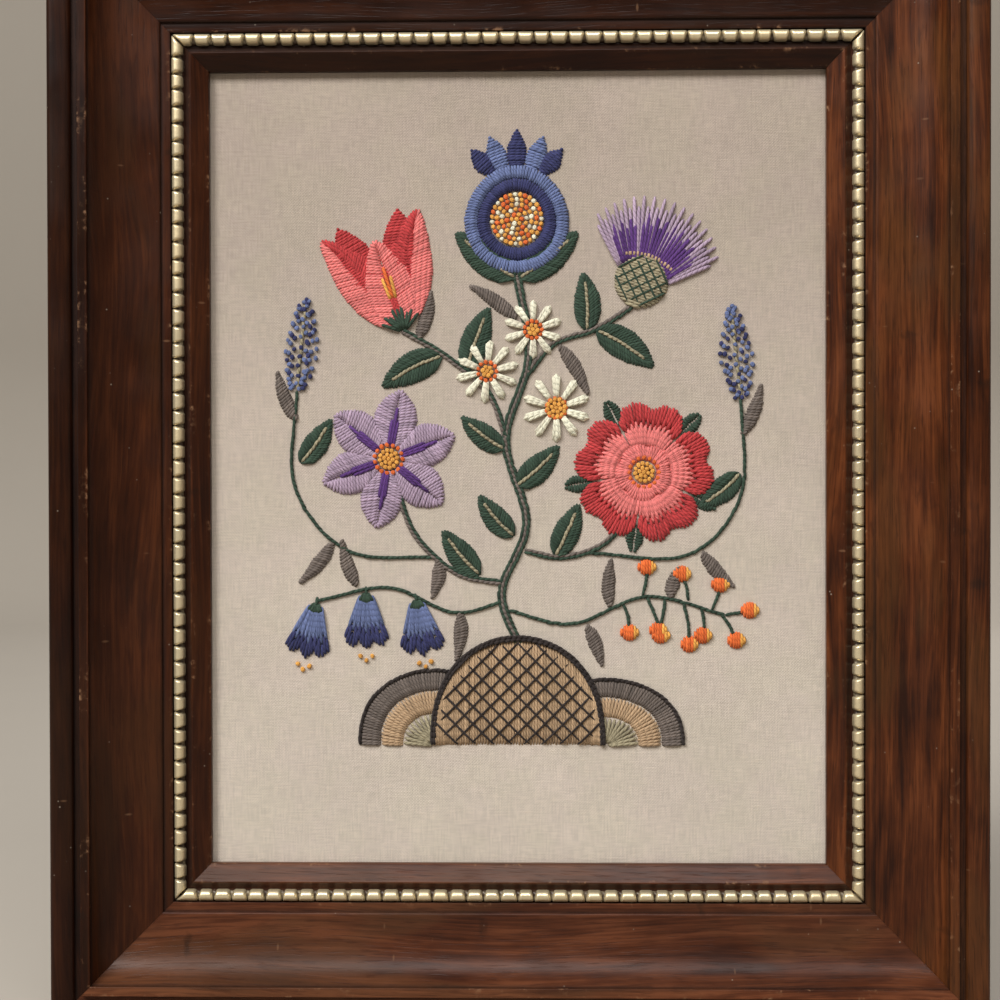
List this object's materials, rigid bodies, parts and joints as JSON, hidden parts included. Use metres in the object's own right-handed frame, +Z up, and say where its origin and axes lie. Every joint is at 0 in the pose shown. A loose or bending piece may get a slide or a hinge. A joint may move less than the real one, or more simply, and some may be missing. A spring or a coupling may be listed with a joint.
{
  "type": "framed crewel embroidery panel",
  "caption": "Crewel-work wool embroidery on beige linen, stretched in a wide dark walnut scoop frame with a gilt bead strip.",
  "frame": {"origin": "centre of the frame's bottom edge, on the surface it stands on", "axes": "+Z up the picture, +X to the viewer's right, the embroidered face looks towards -Y"},
  "size_m": [0.397, 0.034, 0.474],
  "materials": {
    "walnut": "dark walnut stain under a semi-gloss lacquer, lightly worn at the edges",
    "gilt": "champagne leaf over a notched half-round strip, satin",
    "linen": "plain-weave beige linen with fine slubs, matte",
    "board": "plain hardboard, matte",
    "wool_coral": "two-ply crewel wool in coral red and pink",
    "wool_violet": "two-ply crewel wool in violet",
    "wool_lilac": "two-ply crewel wool in lilac",
    "wool_blue": "two-ply crewel wool in slate blue and navy",
    "wool_green": "two-ply crewel wool in dark green",
    "wool_taupe": "two-ply crewel wool in grey-brown",
    "wool_cream": "two-ply crewel wool in cream",
    "wool_orange": "two-ply crewel wool in orange and gold",
    "wool_tan": "two-ply crewel wool in tan and brown"
  },
  "bodies": {
    "root": {"bead_bottom": "gilt", "bead_left": "gilt", "bead_right": "gilt", "bead_top": "gilt", "bell_1": "wool_blue", "bell_2": "wool_blue", "bell_3": "wool_blue", "berry_spray": "wool_orange", "clematis": "wool_lilac", "hillocks": "wool_tan", "linen_panel": "linen", "marguerite_1": "wool_cream", "marguerite_2": "wool_cream", "marguerite_3": "wool_cream", "mounting_board": "board", "pomegranate": "wool_blue", "rail_bottom": "walnut", "rail_left": "walnut", "rail_right": "walnut", "rail_top": "walnut", "rose": "wool_coral", "spike_1": "wool_blue", "spike_2": "wool_blue", "taupe_leaf_1": "wool_taupe", "taupe_leaf_10": "wool_taupe", "taupe_leaf_11": "wool_taupe", "taupe_leaf_12": "wool_taupe", "taupe_leaf_13": "wool_taupe", "taupe_leaf_2": "wool_taupe", "taupe_leaf_3": "wool_taupe", "taupe_leaf_4": "wool_taupe", "taupe_leaf_5": "wool_taupe", "taupe_leaf_6": "wool_taupe", "taupe_leaf_7": "wool_taupe", "taupe_leaf_8": "wool_taupe", "taupe_leaf_9": "wool_taupe", "thistle": "wool_violet", "tree_part_1": "wool_green", "tree_part_2": "wool_green", "tree_part_3": "wool_green", "tree_part_4": "wool_green", "tree_part_5": "wool_green", "tree_part_6": "wool_green", "tree_part_7": "wool_green", "tree_part_8": "wool_green", "tulip": "wool_coral"}
  },
  "joints": []
}
